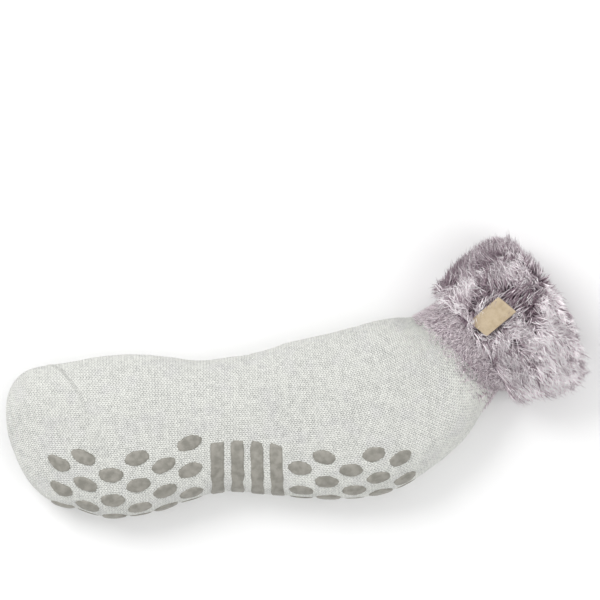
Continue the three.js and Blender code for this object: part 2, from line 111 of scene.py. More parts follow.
# The sock's form
def section_table():
    """Each section's sole edge, instep edge, height, lift and mouth bulge, in millimetres."""
    table = []
    for row in FOOT_ROWS:
        edges = [row["sole"][0] * FOOT_LENGTH, row["sole"][1] * FOOT_WIDTH]
        edges += [row["instep"][0] * FOOT_LENGTH, row["instep"][1] * FOOT_WIDTH]
        table.append(edges + [row["height"] * LYING_HEIGHT, 0, 0])
    axis = math.radians(LEG_LEAN)
    for row in LEG_ROWS:
        normal = math.radians(LEG_LEAN + row["lean"])
        half = row["width"] * LEG_WIDTH / 2
        x = LEG_START[0] * FOOT_LENGTH + math.cos(axis) * row["along"] * LEG_LENGTH
        y = LEG_START[1] * FOOT_WIDTH + math.sin(axis) * row["along"] * LEG_LENGTH
        back = math.sin(normal) * half, -math.cos(normal) * half
        rest = [row["height"] * LYING_HEIGHT, row["lift"] * FUR_DEPTH, row["along"] * MOUTH_BULGE]
        table.append([x + back[0], y + back[1], x - back[0], y - back[1]] + rest)
    return np.array(table)


SECTIONS = section_table()


def between(s):
    """The smooth section values at row number s."""
    last = len(SECTIONS) - 1
    i = np.clip(np.floor(s).astype(int), 0, last - 1)
    t = (s - i)[..., None]
    a, b, c, d = (SECTIONS[np.clip(i + k, 0, last)] for k in (-1, 0, 1, 2))
    slope_b, slope_c = (c - a) / 2, (d - b) / 2
    t2, t3 = t * t, t**3
    start = b * (2 * t3 - 3 * t2 + 1) + slope_b * (t3 - 2 * t2 + t)
    return start + c * (3 * t2 - 2 * t3) + slope_c * (t3 - t2)


def leg_number(along):
    """Row number of a place on the leg, from its share of the leg's length."""
    shares = [row["along"] for row in LEG_ROWS]
    return PLUSH_ROW + np.interp(along, shares, range(len(shares)))


def wall(s, angle, out=0.0):
    """A point of the wall at row number s and angle round the section, out millimetres outside the knit."""
    s, angle, out = np.broadcast_arrays(np.asarray(s, float), angle, out)
    at = between(np.maximum(s, 0))
    sole, instep, height, lift, bulge = at[..., :2], at[..., 2:4], at[..., 4], at[..., 5], at[..., 6]
    across_way = instep - sole
    width = np.linalg.norm(across_way, axis=-1)
    across_way = across_way / width[..., None]
    along_way = np.stack([across_way[..., 1], -across_way[..., 0]], -1)
    sine, cosine = np.sin(angle), np.cos(angle)
    edge = EDGE_SHARE * height
    across = np.sign(cosine) * np.abs(cosine) ** ROUNDNESS
    rise = np.abs(sine) ** ROUNDNESS
    middle = lift + edge
    floor = np.maximum(0, lift - out)
    over = middle + (height - edge + out) * rise
    under = np.maximum(floor, middle - (edge + PRESS_SHARE * height + out) * rise)
    z = np.where(sine < 0, under, over)
    wide = width / 2 + out
    reach = np.clip(-s, 0, 1)
    power = TOE_POWER + TOE_SKEW * across
    shrink = np.where(s < 0, (1 - reach**power) ** (1 / power), 1.0)
    flat = (sole + instep) / 2 + across_way * (across * wide * shrink)[..., None]
    flat = flat + along_way * (bulge * (1 - across**2) - (TOE_ROUND + out) * reach)[..., None]
    flat = flat + across_way * (TOE_RISE * reach**2)[..., None]
    return np.concatenate([flat, (middle + (z - middle) * shrink)[..., None]], -1)


def unit(vectors):
    return vectors / np.maximum(np.linalg.norm(vectors, axis=-1, keepdims=True), 1e-9)


def wall_normal(s, angle):
    step = 0.01
    along = wall(s + step, angle) - wall(s - step, angle)
    around = wall(s, angle + step) - wall(s, angle - step)
    return unit(np.cross(around, along))


# From the foot's own frame in millimetres to the shared frame in metres
def turned(points):
    x, y, z = points[..., 0], points[..., 1], points[..., 2]
    cosine, sine = math.cos(TURN), math.sin(TURN)
    return np.stack([x * cosine + y * sine, y * cosine - x * sine, z], -1) / 1000


def frame_shift():
    """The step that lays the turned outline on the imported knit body."""
    s, angle = np.meshgrid(np.linspace(-1, PLUSH_ROW, 400), np.linspace(0, 2 * math.pi, 181))
    outline = turned(wall(s, angle))
    low, high = (np.array(corner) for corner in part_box("knit_body"))
    own = (outline.min((0, 1)) + outline.max((0, 1))) / 2
    step = (low + high) / 2 - own
    return np.array([step[0], step[1], 0])


SHIFT = frame_shift()


def to_frame(points):
    return turned(points) + SHIFT


# Smooth noise that is the same each time
RIPPLE_WAVES = 6
RIPPLE_SHARE = 3  # the sum of the waves is divided by this


def ripple(points, size, seed):
    """Soft values from about -1 to 1 that change over size millimetres."""
    total = np.zeros(points.shape[:-1])
    draw = np.random.default_rng(seed)
    for _ in range(RIPPLE_WAVES):
        way = draw.normal(size=3)
        way /= np.linalg.norm(way)
        total += np.sin(points @ way * (2 * math.pi / size * draw.uniform(0.7, 1.5)) + draw.uniform(0, 6.3))
    return total / RIPPLE_SHARE


def from_line(points, start, end):
    """The way to each point from the nearest place of a straight line between two points."""
    way = end - start
    t = np.clip(((points - start) @ way) / (way @ way), 0, 1)
    return points - start - t[..., None] * way


# Meshes
def mesh_of(name, points, quads, triangles=(), maps=None):
    """An object from points in the foot's frame, quads and triangles, with UV maps given per face corner."""
    quads = np.asarray(quads, np.int32).reshape(-1, 4)
    triangles = np.asarray(triangles, np.int32).reshape(-1, 3)
    mesh = bpy.data.meshes.new(name)
    corners = np.concatenate([quads.ravel(), triangles.ravel()])
    starts = np.concatenate([np.arange(len(quads)) * 4, len(quads) * 4 + np.arange(len(triangles)) * 3])
    mesh.vertices.add(len(points))
    mesh.loops.add(len(corners))
    mesh.polygons.add(len(starts))
    mesh.vertices.foreach_set("co", to_frame(np.asarray(points, float)).astype(np.float32).ravel())
    mesh.loops.foreach_set("vertex_index", corners)
    mesh.polygons.foreach_set("loop_start", starts.astype(np.int32))
    for key, values in (maps or {}).items():
        layer = mesh.uv_layers.new(name=key)
        layer.uv.foreach_set("vector", np.asarray(values, np.float32)[corners].ravel())
    mesh.update(calc_edges=True)
    mesh.validate()
    mesh.polygons.foreach_set("use_smooth", np.full(len(mesh.polygons), True))
    made = bpy.data.objects.new(name, mesh)
    bpy.context.scene.collection.objects.link(made)
    return made


def grid_quads(lines, count, closed=True):
    """Quads of a grid of lines by count points; closed joins each line's end to its start."""
    i, j = np.meshgrid(np.arange(lines - 1), np.arange(count if closed else count - 1), indexing="ij")
    following = (j + 1) % count
    corners = [i * count + j, i * count + following, (i + 1) * count + following, (i + 1) * count + j]
    return np.stack(corners, -1).reshape(-1, 4)


def wear(piece, material, slot, *nodes):
    """Gives a piece its finish, hangs it on the root body and hides the solids it stands for."""
    piece.data.materials.append(material)
    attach(piece, "root")
    if nodes:
        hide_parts(*nodes)
    return piece


# Shader maths
class Number:
    """A number in a material. Arithmetic on it adds the nodes."""

    def __init__(self, finish, socket):
        self.finish = finish
        self.socket = socket

    def math(self, operation, *others):
        values = dict(enumerate((self,) + others))
        return self.finish.node("Math", {"operation": operation}, values)

    def __add__(self, other):
        return self.math("ADD", other)

    def __radd__(self, other):
        return self.math("ADD", other)

    def __sub__(self, other):
        return self.math("SUBTRACT", other)

    def __rsub__(self, other):
        return self.math("MULTIPLY", -1).math("ADD", other)

    def __mul__(self, other):
        return self.math("MULTIPLY", other)

    def __rmul__(self, other):
        return self.math("MULTIPLY", other)

    def fraction(self):
        return self.math("FRACT")

    def whole(self):
        return self.math("FLOOR")

    def size(self):
        return self.math("ABSOLUTE")

    def sine(self):
        return self.math("SINE")

    def step(self, low, high):
        """A soft step from 0 at low to 1 at high."""
        settings = {"interpolation_type": "SMOOTHSTEP"}
        return self.finish.node("MapRange", settings, {0: self, 1: low, 2: high}, "Result")


class Finish:
    """A material and its shader."""

    def __init__(self, name, **constants):
        self.material = bpy.data.materials.new(name)
        self.material.use_nodes = True
        self.tree = self.material.node_tree
        self.shader = self.tree.nodes["Principled BSDF"]
        for key, value in constants.items():
            self.shader.inputs[key.replace("_", " ")].default_value = value

    def put(self, socket, value):
        if isinstance(value, Number):
            self.tree.links.new(value.socket, socket)
        elif hasattr(value, "__len__") and len(value) == 3 and socket.type == "RGBA":
            socket.default_value = (*value, 1)
        else:
            socket.default_value = value

    def node(self, kind, settings=None, inputs=None, output=0):
        """One node: its settings are set first, then its sockets; gives the named output."""
        made = self.tree.nodes.new("ShaderNode" + kind)
        for key, value in (settings or {}).items():
            setattr(made, key, value)
        for key, value in (inputs or {}).items():
            self.put(made.inputs[key], value)
        return Number(self, made.outputs[output])

    def map(self, name):
        """The two numbers of a UV map."""
        spread = self.tree.nodes.new("ShaderNodeSeparateXYZ")
        self.put(spread.inputs[0], self.node("UVMap", {"uv_map": name}))
        return Number(self, spread.outputs[0]), Number(self, spread.outputs[1])

    def point(self, x, y):
        return self.node("CombineXYZ", None, {0: x, 1: y})

    def place(self):
        return self.node("TexCoord", None, None, "Object")

    def noise(self, scale, detail):
        inputs = {"Vector": self.place(), "Scale": scale, "Detail": detail}
        return self.node("TexNoise", None, inputs, "Fac")

    def mix(self, factor, first, second):
        """A colour between two colours."""
        return self.node("Mix", {"data_type": "RGBA"}, {0: factor, 6: first, 7: second}, 2)

    def times(self, first, second):
        """A colour times a colour."""
        settings = {"data_type": "RGBA", "blend_type": "MULTIPLY"}
        return self.node("Mix", settings, {0: 1.0, 6: first, 7: second}, 2)

    def tint(self, colour, amount):
        """A colour times a number."""
        return self.times(colour, self.node("CombineColor", None, {0: amount, 1: amount, 2: amount}))

    def colour(self, value):
        self.put(self.shader.inputs["Base Color"], value)

    def rough(self, value):
        self.put(self.shader.inputs["Roughness"], value)

    def relief(self, height, depth, strength):
        """Bump of that depth in metres."""
        inputs = {"Height": height, "Distance": depth, "Strength": strength}
        self.put(self.shader.inputs["Normal"], self.node("Bump", None, inputs))


def srgb(red, green, blue):
    """A colour as seen, from 0 to 255, as the linear values that Blender takes."""
    values = [v / 255 for v in (red, green, blue)]
    return tuple(v / 12.92 if v <= 0.04045 else ((v + 0.055) / 1.055) ** 2.4 for v in values)


# Finishes
KNIT_LIGHT = srgb(238, 239, 233)
KNIT_MIDDLE = srgb(222, 223, 218)
KNIT_DARK = srgb(166, 168, 165)
KNIT_LILAC = srgb(218, 216, 220)
# Weights of the knit's random tone; the stitch weight is painted shade of the stitch relief
KNIT_TONE_AND_SHADE = {"marl": 0.38, "strand": 0.8, "cloud": 0.24, "blotch": 0.14, "stitch": 0.62, "less": 0.505}
PILE_SHADE = srgb(236, 206, 222)  # what the darkest strands are tinted by
# The colours of pile from root to tip, and of other stuff from dark to light
CUFF_PILE = srgb(96, 74, 87), srgb(217, 207, 212), srgb(252, 249, 250)
CUFF_GROUND = srgb(96, 80, 90), srgb(140, 124, 133)
BAND_PILE = srgb(140, 122, 132), srgb(206, 194, 200), srgb(244, 238, 240)
BAND_GROUND = srgb(150, 134, 144), srgb(196, 184, 191)
SILICONE = srgb(128, 126, 118), srgb(154, 151, 143)
TAB_THREAD = srgb(178, 157, 126), srgb(208, 190, 162)
FLOOR_GREY = (0.93, 0.93, 0.93), (0.95, 0.95, 0.95)


def knit_finish(name):
    """Brushed marl knit: V-shaped stitches in wales, each stitch of its own grey, with painted shade between
    the loops.
    """
    made = Finish(name, Roughness=0.92, Sheen_Weight=0.25, Sheen_Roughness=0.5, Specular_IOR_Level=0.2)
    wale, course = made.map("stitches")
    slant = (wale.fraction() - 0.5).size()
    run = course + slant * 0.9
    legs = (run.fraction() * math.pi).sine()
    groove = (slant * math.pi * 2).sine()
    stitch = legs * 0.55 + groove * 0.45
    cell = made.point(wale.whole(), run.whole())
    marl = made.node("TexWhiteNoise", {"noise_dimensions": "2D"}, {"Vector": cell}, "Value")
    strand = made.noise(1100, 3)
    cloud = made.noise(30, 2)
    blotch = made.noise(210, 2)
    # The stitch term is painted shade: the low places between the loops come out darker
    tone = marl * KNIT_TONE_AND_SHADE["marl"] + strand * KNIT_TONE_AND_SHADE["strand"] + cloud * KNIT_TONE_AND_SHADE["cloud"]
    tone = tone + blotch * KNIT_TONE_AND_SHADE["blotch"] + stitch * KNIT_TONE_AND_SHADE["stitch"] - KNIT_TONE_AND_SHADE["less"]
    light = made.mix(tone.step(0.45, 0.95), KNIT_MIDDLE, KNIT_LIGHT)
    grey = made.mix(tone.step(0.1, 0.5), KNIT_DARK, light)
    hint = made.noise(90, 1)
    made.colour(made.mix(hint.step(0.5, 0.7) * 0.22, grey, KNIT_LILAC))
    made.relief(stitch + strand * 0.6, 0.0009, 1.0)
    return made.material


def pile_finish(name, root, middle, tip, rough):
    """Pile: the map's first number is each strand's tone, and its second runs from root to tip."""
    made = Finish(name, Sheen_Weight=0.3, Sheen_Roughness=0.35, Specular_IOR_Level=0.45, Roughness=rough)
    tone, along = made.map("OFBake")
    lower = made.mix(along.step(0.0, 0.45), root, middle)
    colour = made.mix(along.step(0.35, 1.0), lower, tip)
    shaded = made.tint(colour, 0.3 + tone * 1.5)
    deep = made.mix(tone.step(0.0, 0.55), PILE_SHADE, (1.0, 1.0, 1.0))
    made.colour(made.times(shaded, deep))
    return made.material


def backing_finish(name, dark, light):
    """The knitted ground under the pile."""
    made = Finish(name, Roughness=0.95, Sheen_Weight=0.2)
    grain = made.noise(420, 4)
    made.colour(made.mix(grain.step(0.35, 0.65), dark, light))
    made.relief(grain + made.noise(1500, 2) * 0.4, 0.0009, 0.9)
    return made.material


def grip_finish():
    """Printed silicone: taupe, satin, with the knit's grain showing through."""
    made = Finish("grip silicone", Specular_IOR_Level=0.5, Coat_Weight=0.08, Coat_Roughness=0.35)
    cloud = made.noise(260, 3)
    grain = made.noise(1700, 2)
    made.colour(made.mix(cloud.step(0.3, 0.7), *SILICONE))
    made.rough(0.42 + cloud * 0.25)
    made.relief(grain + cloud * 0.6, 0.0003, 0.7)
    return made.material


def label_finish():
    """Woven tab: fine warp and weft in tan, with painted shade at the threads' edges."""
    made = Finish("label weave", Roughness=0.7, Sheen_Weight=0.25, Specular_IOR_Level=0.3)
    u, v = made.map("weave")
    warp = (u * math.pi).sine().size()
    weft = (v * math.pi).sine().size()
    over = ((u.whole() + v.whole()) * 0.5).fraction().step(0.2, 0.3)
    thread = warp * over + weft * (1 - over)
    cloud = made.noise(300, 3)
    # The thread term is painted shade, darker towards each thread's edges; the cloud is the threads' random
    # tone
    shade = thread * 0.35 + cloud * 0.9
    made.colour(made.mix(shade.step(0.3, 0.9), *TAB_THREAD))
    made.relief(thread, 0.0002, 0.7)
    return made.material


def floor_finish():
    made = Finish("pale floor", Roughness=0.9, Specular_IOR_Level=0.1)
    made.colour(made.mix(made.noise(3, 1), *FLOOR_GREY))
    return made.material


# Knit body
AROUND = 240  # steps round the knit, the band and the cuff
TOE_RINGS = 60
OUTER_RINGS = 240
INNER_RINGS = 60
WALE_STEP = 2.2
COURSE_STEP = 1.6
KNIT_OVERLAP = 0.02  # in rows, under the plush
INNER_TOE = -0.9  # where the inside ends at the toe, in rows
LUMPS = ({"size": 46, "seed": 3, "height": 0.45}, {"size": 17, "seed": 8, "height": 0.16})
# Main creases: the places are a row number and an angle round the section, and the sizes are millimetres
CREASES = [
    {"from": (-0.12, 1.0), "to": (0.75, 1.62), "wide": 2.2, "depth": 0.9},
    {"from": (0.75, 1.62), "to": (0.95, 2.0), "wide": 3.0, "depth": 0.7},
    {"from": (-0.55, 1.5), "to": (-0.35, 2.2), "wide": 9.0, "depth": 1.2},
    {"from": (3.4, 0.15), "to": (4.2, 1.1), "wide": 8.0, "depth": 1.3},
    {"from": (4.6, 1.6), "to": (6.2, 1.9), "wide": 11.0, "depth": 0.9},
    {"from": (8.3, 1.35), "to": (7.6, 1.9), "wide": 6.0, "depth": 1.0},
    {"from": (8.3, 1.35), "to": (9.6, 1.6), "wide": 5.0, "depth": 0.7},
    {"from": (10.8, 0.3), "to": (11.2, 1.2), "wide": 5.0, "depth": 1.0},
    {"from": (6.9, 2.6), "to": (7.9, 2.75), "wide": 7.0, "depth": 0.8},
]
RIDGE_AT = 1.9  # a crease's soft ridges stand this many widths from its middle
RIDGE_SHARE = 0.35


def creased(points, normals):
    """Soft troughs with a low ridge beside each, and the gentle lumps of brushed knit."""
    push = sum(ripple(points, lump["size"], lump["seed"]) * lump["height"] for lump in LUMPS)
    for crease in CREASES:
        start, end = (wall(*crease[key]) for key in ("from", "to"))
        away = np.linalg.norm(from_line(points, start, end), axis=-1) / crease["wide"]
        push -= crease["depth"] * (np.exp(-(away**2)) - RIDGE_SHARE * np.exp(-((away - RIDGE_AT) ** 2) * 2))
    lifted = points + normals * push[..., None]
    lifted[..., 2] = np.where(points[..., 2] < 0.05, points[..., 2], np.maximum(lifted[..., 2], 0))
    return lifted


def ring_angles():
    """Angles round a section, from the underside and back to it."""
    return -math.pi / 2 - np.linspace(0, 2 * math.pi, AROUND + 1)


def knit_body():
    end = PLUSH_ROW + KNIT_OVERLAP
    toe = -np.cos(np.linspace(0.02, math.pi / 2, TOE_RINGS, endpoint=False))
    outer = np.concatenate([toe, np.linspace(0, end, OUTER_RINGS)])
    inner = np.linspace(end, INNER_TOE, INNER_RINGS)
    angle = ring_angles()
    s, turn = np.meshgrid(outer, angle, indexing="ij")
    outside = creased(wall(s, turn), wall_normal(np.maximum(s, -0.985), turn))
    inside = wall(*np.meshgrid(inner, angle, indexing="ij"), -KNIT_WALL)
    points = np.concatenate([outside, inside]).reshape(-1, 3)
    track = wall(outer, math.pi / 2)
    run = np.concatenate([[0], np.cumsum(np.linalg.norm(np.diff(track, axis=0), axis=1))])
    run = np.concatenate([run, np.interp(inner, outer, run)]) / COURSE_STEP
    lines = len(run)
    # Wales keep their width: they are counted along each ring from the top of the sock
    arcs = np.cumsum(np.linalg.norm(np.diff(points.reshape(lines, -1, 3), axis=1), axis=2), axis=1)
    arcs = np.concatenate([np.zeros((lines, 1)), arcs], axis=1)
    wales = (arcs - arcs[:, [AROUND // 2]]) / WALE_STEP
    courses = np.broadcast_to(run[:, None], wales.shape)
    rows, columns = np.meshgrid(np.linspace(0, 1, lines), np.linspace(0, 1, AROUND + 1), indexing="ij")
    stitches = np.stack([wales, courses], -1).reshape(-1, 2)
    spread = np.stack([columns, rows], -1).reshape(-1, 2)
    tips = np.array([wall(-1.0, 0.0), wall(-0.97, 0.0, -KNIT_WALL)])
    first = np.arange(AROUND)
    last = (lines - 1) * (AROUND + 1) + first
    tip_number = np.full(AROUND, len(points))
    fans = [np.stack([first + 1, first, tip_number], -1), np.stack([last, last + 1, tip_number + 1], -1)]
    points = np.concatenate([points, tips])
    maps = {"stitches": np.concatenate([stitches, np.zeros((2, 2))])}
    maps["OFBake"] = np.concatenate([spread, [[0.5, 0], [0.5, 1]]])
    made = mesh_of("sock_knit", points, grid_quads(lines, AROUND + 1, False), np.concatenate(fans), maps)
    return wear(made, knit_finish("knit marl"), "knit", "knit_body")


knit_body()

# Toe seam: a low ridge of linking round the toe, from its top over the instep edge
SEAM_FRONT = 25
SEAM_BACK = 47
SEAM_BEND = 1.35
SEAM_WIDTH = 3.4
SEAM_HEIGHT = 0.5
SEAM_SUNK = 0.25
SEAM_START = 0.5  # angles as shares of a half turn
SEAM_SWEEP = 0.69
SEAM_STITCHES = 66
SEAM_FADE_IN = 0.22
SEAM_FADE_OUT = 0.1


def seam_number(distance):
    span = (FOOT_ROWS[1]["instep"][0] - FOOT_ROWS[0]["instep"][0]) * FOOT_LENGTH
    return np.where(distance < TOE_ROUND, distance / TOE_ROUND - 1, (distance - TOE_ROUND) / span)


def toe_seam():
    lengths, widths = 300, 9
    u, v = np.meshgrid(np.linspace(0, 1, lengths), np.linspace(-1, 1, widths), indexing="ij")
    angle = math.pi * (SEAM_START - SEAM_SWEEP * u)
    back = SEAM_FRONT + (SEAM_BACK - SEAM_FRONT) * np.abs(np.sin(angle)) ** SEAM_BEND
    s = seam_number(back + v * SEAM_WIDTH / 2)
    normal = wall_normal(s, angle)
    fade = np.clip(u / SEAM_FADE_IN, 0, 1) * np.clip((1 - u) / SEAM_FADE_OUT, 0, 1)
    linking = 1 + 0.12 * np.sin(u * lengths * 0.9)
    height = SEAM_HEIGHT * np.sqrt(np.maximum(1 - v**2, 0)) * fade * linking
    points = creased(wall(s, angle), normal) + normal * (height - SEAM_SUNK)[..., None]
    stitches = np.stack([v, u * SEAM_STITCHES], -1).reshape(-1, 2)
    quads = grid_quads(lengths, widths, False)
    made = mesh_of("linking_seam", points.reshape(-1, 3), quads, (), {"stitches": stitches})
    return wear(made, knit_finish("seam yarn"), "seam", "toe_seam")


# Grips: domed pads and bars on the sole's side
TRACK_STEP = 0.05
ANGLE_STEP = 0.02
ANGLE_STEPS = 130
GRIP_SUNK = 0.25
DOME_RINGS = (1.0, 0.99, 0.95, 0.87, 0.72, 0.45, 0.15)
DOME_CORNERS = 48
DOME_POWER = 8  # the higher, the flatter the dome and the steeper its edge
GRIP_CLEAR = 0.02  # above the floor
PAD_SQUARENESS = 2
BAR_SQUARENESS = 9


def sole_place(distance, across):
    """Row number and angle of a place, from its distances along the sole and from the sole's middle."""
    rows = np.arange(-1, PLUSH_ROW + 1e-6, TRACK_STEP)
    track = wall(rows, math.pi)
    run = np.concatenate([[0], np.cumsum(np.linalg.norm(np.diff(track, axis=0), axis=1))])
    s = np.interp(distance, run, rows)
    side = np.where(across < 0, 1, -1)
    angles = math.pi + side[:, None] * ANGLE_STEP * np.arange(ANGLE_STEPS)
    steps = np.linalg.norm(np.diff(wall(s[:, None], angles), axis=1), axis=2)
    reached = np.concatenate([np.zeros((len(s), 1)), np.cumsum(steps, axis=1)], axis=1)
    found = [np.interp(abs(a), r, t) for a, r, t in zip(across, reached, angles)]
    return s, np.array(found)


def grip(name, distance, across, half_along, half_across, squareness, material):
    """A dome of silicone: squareness 2 is an oval and more is a rounded bar."""
    turn = np.arange(DOME_CORNERS) / DOME_CORNERS * 2 * math.pi
    power = 2 / squareness
    x = np.sign(np.cos(turn)) * np.abs(np.cos(turn)) ** power
    y = np.sign(np.sin(turn)) * np.abs(np.sin(turn)) ** power
    rings = np.array(DOME_RINGS)[:, None]
    ragged = 1 + 0.025 * np.sin(turn * 5 + distance) + 0.02 * np.sin(turn * 11 + across)
    along = distance + rings * x * ragged * half_along
    aside = across + rings * y * ragged * half_across
    s, angle = sole_place(np.append(along, distance), np.append(aside, across))
    normal = wall_normal(s, angle)
    height = np.append(np.broadcast_to((1 - rings**DOME_POWER) ** 0.5, along.shape), 1.0)
    lift = height * (PAD_HEIGHT + GRIP_SUNK) - GRIP_SUNK
    points = creased(wall(s, angle), normal) + normal * lift[..., None]
    points[:, 2] = np.maximum(points[:, 2], GRIP_CLEAR)
    last = (len(DOME_RINGS) - 1) * DOME_CORNERS + np.arange(DOME_CORNERS)
    fan = np.stack([last, np.roll(last, -1), np.full(DOME_CORNERS, len(points) - 1)], -1)
    made = mesh_of(name + "_pad", points, grid_quads(len(DOME_RINGS), DOME_CORNERS), fan)
    return wear(made, material, "grip", name)


# Even lines start at the first place and odd lines at the second
GRIP_FIELDS = [
    {
        "name": "forefoot",
        "lines": 6,
        "from": (FOREFOOT_PADS_FROM, FOREFOOT_PADS_FROM + PAD_PITCH / 2),
        "columns": (3, 3),
    },
    {
        "name": "heel",
        "lines": 5,
        "from": (HEEL_PADS_FROM + PAD_PITCH / 2, HEEL_PADS_FROM),
        "columns": (2, 3),
    },
]
UNDER_LINES = 3


def grips():
    material = grip_finish()
    for field in GRIP_FIELDS:
        for line in range(-UNDER_LINES, field["lines"]):
            outside = line if line >= 0 else line + 1
            across = outside * PAD_LINE_PITCH + math.copysign(PAD_FIRST_LINE, line)
            side = "under" if line < 0 else "side"
            for column in range(field["columns"][line % 2]):
                name = f"grip_{field['name']}_{side}_{abs(line)}_{column + 1}"
                distance = field["from"][line % 2] + column * PAD_PITCH
                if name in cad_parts:
                    grip(name, distance, across, PAD_LENGTH / 2, PAD_WIDTH / 2, PAD_SQUARENESS, material)
    half = (BAR_REACH - BAR_INSET) / 2
    for k in range(BAR_COUNT):
        distance = BARS_FROM + k * BAR_PITCH
        grip(f"grip_bar_{k + 1}", distance, BAR_REACH - half, BAR_WIDTH / 2, half, BAR_SQUARENESS, material)


# Cuff: a closed profile round the leg, along as a share of the leg's length and out in millimetres
BODY_SHARE = 0.5  # the ground of the pile stands this far out, as a share of the pile's depth
LINING = PLUSH_WALL + 0.3
PROFILE = [
    {"along": 0.21, "out": 3.4},
    {"along": 0.27, "out": 7.0},
    {"along": 0.39, "out": 10.3},
    {"along": 0.56, "out": 11.8},
    {"along": 0.78, "out": 12.0},
    {"along": 0.93, "out": 10.6},
    {"along": 1.03, "out": 6.5},
    {"along": 1.07, "out": 0.5},
    {"along": 1.02, "out": -LINING - 3.7},
    {"along": 0.9, "out": -LINING - 6.0},
    {"along": 0.81, "out": -LINING - 5.1},
    {"along": 0.7, "out": -LINING},
]
FOLD_AT = 7  # the profile's point at the mouth's fold
FOLD_PULL = 0.14  # how far the ground of the pile stays back there, as a share of the leg's length


def profile_at(q, share=1.0):
    """Along and out at a place of the profile, counted in its points; share draws the outside in."""
    points = np.array([[p["along"], p["out"]] for p in PROFILE])
    along, out = (np.interp(q, np.arange(len(points)), points[:, k]) for k in (0, 1))
    out = np.where(out > 0, out * share, -LINING + (out + LINING) * share)
    return along - (1 - share) * FOLD_PULL * np.exp(-((q - FOLD_AT) ** 2) / 2), out


def cuff_wall(q, angle, share=1.0):
    along, out = profile_at(q, share)
    return wall(leg_number(along), angle, out)


def cuff_normal(q, angle, share=1.0):
    step = 0.02
    along = cuff_wall(q + step, angle, share) - cuff_wall(q - step, angle, share)
    around = cuff_wall(q, angle + step, share) - cuff_wall(q, angle - step, share)
    return unit(np.cross(around, along))


# Label
LABEL_LIFT = 1.0
LABEL_THICKNESS = 0.8
LABEL_HEM = 1.5
LABEL_HEM_HEIGHT = 0.16
THREAD_STEP = 0.42


def label_place(u, v):
    """A place of the label on the cuff: u from its hem end, v from its back side, both 0 to 1."""
    long, short = (u - 0.5) * LABEL_LENGTH, (v - 0.5) * LABEL_WIDTH
    along = LABEL_ALONG + (long * math.cos(LABEL_TILT) - short * math.sin(LABEL_TILT)) / LEG_LENGTH
    q = np.interp(along, [p["along"] for p in PROFILE[:FOLD_AT]], range(FOLD_AT))
    at = between(leg_number(along))
    half = np.linalg.norm(at[..., 2:4] - at[..., :2], axis=-1) / 2 + profile_at(q)[1]
    share = (LABEL_SIDE + long * math.sin(LABEL_TILT) + short * math.cos(LABEL_TILT)) / half
    angle = np.arccos(np.sign(share) * np.abs(share) ** (1 / ROUNDNESS))
    return cuff_wall(q, angle), cuff_normal(q, angle)


def label():
    columns, lines = 60, 44
    u, v = np.meshgrid(np.linspace(0, 1, columns), np.linspace(0, 1, lines), indexing="ij")
    edge = np.minimum(np.minimum(u, 1 - u) * LABEL_LENGTH, np.minimum(v, 1 - v) * LABEL_WIDTH)
    middle, normal = label_place(u, v)
    bend = 0.4 * np.sin(u * 2.6 + 0.4) + 0.3 * np.sin(v * 3.0 - u * 1.5) + 0.4 * u * v
    half = np.sqrt(np.clip(edge / (LABEL_THICKNESS / 2), 0, 1)) * LABEL_THICKNESS / 2
    hem = LABEL_HEM_HEIGHT * (edge < LABEL_HEM)
    upper = middle + normal * (LABEL_LIFT + bend + half + hem)[..., None]
    lower = middle + normal * (LABEL_LIFT + bend - half)[..., None]
    points = np.concatenate([upper.reshape(-1, 3), lower.reshape(-1, 3)])
    quads = grid_quads(columns, lines, False)
    quads = np.concatenate([quads[:, ::-1], quads + columns * lines])
    weave = np.stack([u * LABEL_LENGTH / THREAD_STEP, v * LABEL_WIDTH / THREAD_STEP], -1).reshape(-1, 2)
    made = mesh_of("woven_tab", points, quads, (), {"weave": np.tile(weave, (2, 1))})
    return wear(made, label_finish(), "label", "label")


# Pile
MOST_HAIRS = 20000  # in one piece
HAIR_MIDDLE = 0.55  # where a hair bends, from root to tip
MIDDLE_THICKNESS = 0.8  # there, as a share of the root's
PILE_CLEAR = 0.1  # above the floor


def pile(name, roots, middles, tips, width, tone, material, slot, *nodes):
    """Bent hairs from three points each: three-sided, tapered to the tip."""
    for part, start in enumerate(range(0, len(roots), MOST_HAIRS)):
        keep = slice(start, start + MOST_HAIRS)
        root, middle, tip, thick, shade = (a[keep] for a in (roots, middles, tips, width, tone))
        axis = unit(tip - root)
        side = unit(np.cross(axis, np.array([0.31, 0.57, 0.76])))
        up = np.cross(axis, side)
        rings = []
        for centre, share in ((root, 1.0), (middle, MIDDLE_THICKNESS)):
            for turn in np.arange(3) * 2 * math.pi / 3:
                spread = side * math.cos(turn) + up * math.sin(turn)
                rings.append(centre + spread * (thick * share / 2)[:, None])
        points = np.stack(rings + [tip], axis=1)
        first = np.arange(len(root))[:, None] * 7
        quads = np.concatenate([first + [k, (k + 1) % 3, 3 + (k + 1) % 3, 3 + k] for k in range(3)])
        ends = np.concatenate([first + [3 + k, 3 + (k + 1) % 3, 6] for k in range(3)])
        along = np.array([0] * 3 + [HAIR_MIDDLE] * 3 + [1])
        maps = np.stack(np.broadcast_arrays(shade[:, None], along), -1).reshape(-1, 2)
        points[..., 2] = np.maximum(points[..., 2], PILE_CLEAR)
        made = mesh_of(f"{name}_{part + 1}", points.reshape(-1, 3), quads, ends, {"OFBake": maps})
        wear(made, material, slot, *nodes)


def uneven(draw, points, amounts):
    """Values that change evenly over the points, with a loose random share."""
    even = amounts.get("middle", 0) + ripple(points, amounts["size"], amounts["seed"]) * amounts["even"]
    return even + draw.normal(0, amounts["loose"], len(points))


